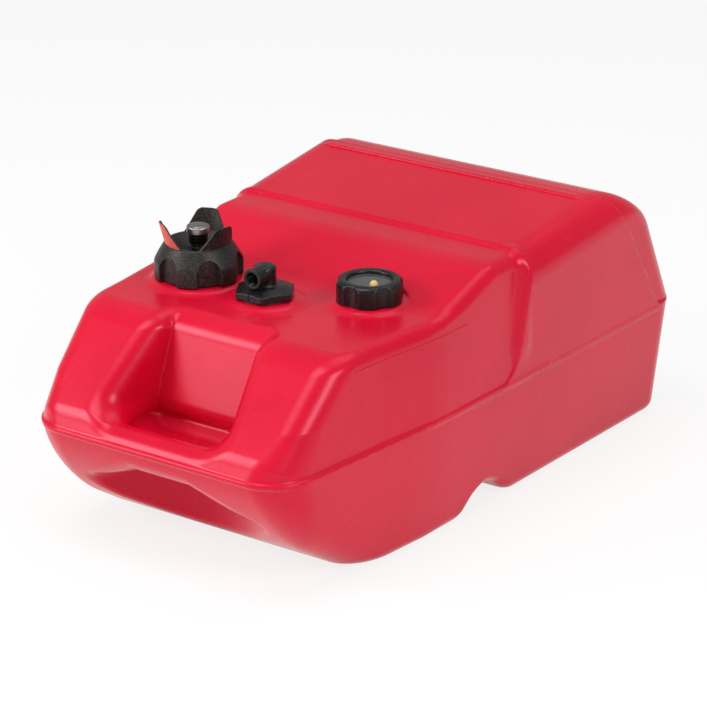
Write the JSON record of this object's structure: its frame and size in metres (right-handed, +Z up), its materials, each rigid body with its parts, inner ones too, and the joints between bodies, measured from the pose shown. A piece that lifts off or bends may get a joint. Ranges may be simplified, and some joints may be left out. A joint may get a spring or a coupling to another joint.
{
  "type": "outboard fuel tank",
  "caption": "Portable low-profile fuel tank for an outboard motor, with a screwed vented filler cap, an outlet elbow with a pickup tube, and a float gauge.",
  "frame": {"origin": "middle of the base, on the surface the tank stands on", "axes": "+Z up, +Y along the tank from its carrying end to its rear, +X to the gauge's side"},
  "size_m": [0.3282, 0.58, 0.249],
  "materials": {
    "tank_red": "satin moulded polyethylene",
    "cap_black": "moulded, finely textured",
    "fitting_black": "moulded, finely textured",
    "marker_red": "gloss",
    "button_steel": "brushed",
    "spring_steel": "drawn",
    "strip_steel": "rolled",
    "seal_rubber": "matt",
    "tube_grey": "extruded",
    "filter_white": "woven and moulded",
    "window": "clear",
    "dial_black": "satin",
    "pointer_yellow": "gloss",
    "frame_grey": "moulded",
    "float_black": "closed-cell foam"
  },
  "bodies": {
    "tank": {"tank_shell": "tank_red", "outlet_gasket": "seal_rubber", "outlet_fitting": "fitting_black", "pickup_tube": "tube_grey", "pickup_filter": "filter_white", "gauge_gasket": "seal_rubber", "gauge_housing": "fitting_black", "gauge_ring": "fitting_black", "gauge_lens": "window", "gauge_dial": "dial_black", "gauge_frame": "frame_grey", "frame_foot": "frame_grey"},
    "cap_carrier": {"cap_gasket": "seal_rubber"},
    "cap": {"filler_cap": "cap_black", "cap_sleeve": "cap_black", "fin_marker": "marker_red", "vent_spring": "spring_steel"},
    "vent": {"vent_button": "button_steel", "vent_stem": "cap_black", "vent_collar": "cap_black", "vent_seal": "seal_rubber"},
    "pointer": {"gauge_pointer": "pointer_yellow", "twisted_rod": "strip_steel"},
    "float": {"gauge_float": "float_black"}
  },
  "joints": [
    {"name": "cap_lift", "type": "slide", "parent": "tank", "child": "cap_carrier", "axis": [0, 0, 1], "range_m": [0, 0.012]},
    {"name": "cap_turn", "type": "hinge", "parent": "cap_carrier", "child": "cap", "pos_m": [-0.077, -0.123, 0.2], "axis": [0, 0, 1], "range_deg": [0, 720]},
    {"name": "vent_press", "type": "slide", "parent": "cap", "child": "vent", "axis": [0, 0, -1], "range_m": [0, 0.005], "stiffness_N_per_m": 400, "springref_m": -0.003, "deforming": ["vent_spring"]},
    {"name": "float_rise", "type": "slide", "parent": "tank", "child": "float", "axis": [0, 0, 1], "range_m": [0, 0.115]},
    {"name": "pointer_turn", "type": "hinge", "parent": "tank", "child": "pointer", "pos_m": [0.075, -0.087, 0.2], "axis": [0, 0, 1], "range_deg": [0, 270]}
  ],
  "couplings": [
    {"joint": "cap_lift", "follows": "cap_turn", "m_per_rad": 0.000954},
    {"joint": "pointer_turn", "follows": "float_rise", "rad_per_m": 40.97}
  ]
}
